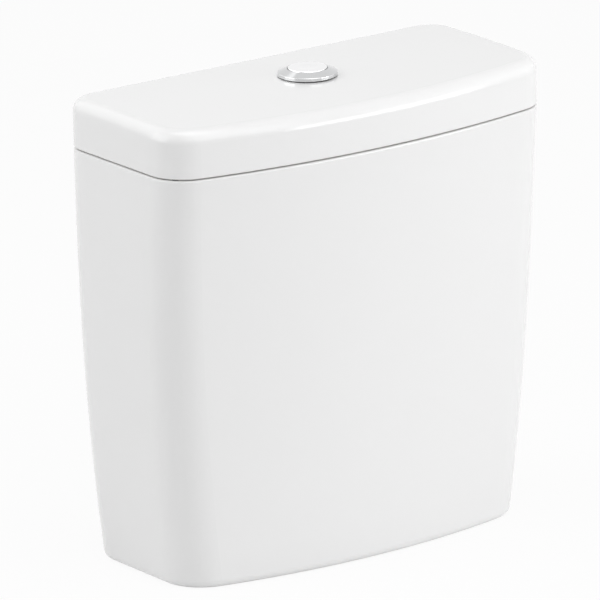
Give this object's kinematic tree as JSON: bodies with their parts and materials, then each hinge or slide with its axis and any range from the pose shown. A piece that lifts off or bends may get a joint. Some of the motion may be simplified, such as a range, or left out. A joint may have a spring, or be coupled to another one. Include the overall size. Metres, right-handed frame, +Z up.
{
  "type": "toilet cistern",
  "caption": "Close-coupled ceramic toilet cistern with a crowned lid, a push button, a flush valve and a bottom-entry fill valve.",
  "frame": {"origin": "under the middle of the width and depth, on the plane of the foot rim", "axes": "+X along the width to the fill valve's side, +Y out of the flat back towards the wall, +Z up"},
  "size_m": [0.37, 0.174, 0.3923],
  "materials": {
    "glaze_tank": "white gloss glaze",
    "glaze_lid": "white gloss glaze",
    "chrome_trim": "polished chrome plate",
    "white_plastic": "moulded satin plastic",
    "grey_plastic": "moulded satin plastic",
    "blue_plastic": "moulded satin plastic",
    "black_rubber": "moulded rubber",
    "seal_silicone": "soft silicone",
    "foam_rubber": "closed-cell foam rubber",
    "zinc_steel": "zinc-plated steel",
    "stainless_wire": "drawn stainless wire"
  },
  "bodies": {
    "cistern": {"tank": "glaze_tank", "valve_base": "white_plastic", "valve_floor_washer": "black_rubber", "valve_nut": "white_plastic", "coupling_washer": "foam_rubber", "valve_tower": "white_plastic", "rocker_axle": "zinc_steel", "fill_valve_body": "white_plastic", "fill_valve_washer": "black_rubber", "fill_valve_nut": "white_plastic", "upper_riser": "grey_plastic", "riser_lock_ring": "blue_plastic", "lever_pin": "zinc_steel", "fill_valve_head": "white_plastic", "fill_valve_cap": "grey_plastic", "fill_valve_diaphragm": "black_rubber", "coupling_bolts": "zinc_steel", "bolt_seals": "black_rubber", "bolt_washers": "zinc_steel", "under_seals": "black_rubber", "under_washers": "zinc_steel", "bolt_nuts": "zinc_steel"},
    "lid": {"lid": "glaze_lid", "lid_pads": "black_rubber", "bezel_gasket": "black_rubber", "button_bezel": "chrome_trim", "button_sleeve": "white_plastic", "sleeve_washer": "black_rubber", "sleeve_nut": "white_plastic"},
    "button": {"button_cap": "chrome_trim", "rod_carrier": "white_plastic", "push_rods": "grey_plastic", "button_spring": "stainless_wire"},
    "left_rocker": {"rocker_left": "blue_plastic"},
    "right_rocker": {"rocker_right": "blue_plastic"},
    "outlet_valve": {"overflow_tube": "white_plastic", "valve_seal": "seal_silicone", "seal_retainer": "grey_plastic", "lift_yoke": "blue_plastic"},
    "float": {"float_cup": "white_plastic", "float_link": "grey_plastic"},
    "lever": {"float_lever": "blue_plastic"}
  },
  "joints": [
    {"name": "lid_lift", "type": "slide", "parent": "cistern", "child": "lid", "axis": [0, 0, 1], "range_m": [0, 0.15]},
    {"name": "button_press", "type": "slide", "parent": "lid", "child": "button", "axis": [0, 0, -1], "range_m": [0, 0.007], "stiffness_N_per_m": 350, "springref_m": -0.006, "deforming": ["button_spring"]},
    {"name": "left_rocker_turn", "type": "hinge", "parent": "cistern", "child": "left_rocker", "pos_m": [0, 0.008, 0.326], "axis": [0, -1, 0], "range_deg": [0, 38]},
    {"name": "right_rocker_turn", "type": "hinge", "parent": "cistern", "child": "right_rocker", "pos_m": [0, 0.008, 0.326], "axis": [0, 1, 0], "range_deg": [0, 38]},
    {"name": "valve_lift", "type": "slide", "parent": "cistern", "child": "outlet_valve", "axis": [0, 0, 1], "range_m": [0, 0.0126]},
    {"name": "float_rise", "type": "slide", "parent": "cistern", "child": "float", "axis": [0, 0, 1], "range_m": [0, 0.01]},
    {"name": "lever_turn", "type": "hinge", "parent": "cistern", "child": "lever", "pos_m": [0.126, 0.008, 0.305], "axis": [0, 1, 0], "range_deg": [0, 18.5]}
  ],
  "couplings": [
    {"joint": "left_rocker_turn", "follows": "button_press", "rad_per_m": 88.51},
    {"joint": "right_rocker_turn", "follows": "button_press", "rad_per_m": 88.51},
    {"joint": "valve_lift", "follows": "button_press", "ratio": 1.7857},
    {"joint": "lever_turn", "follows": "float_rise", "rad_per_m": 31.746}
  ]
}
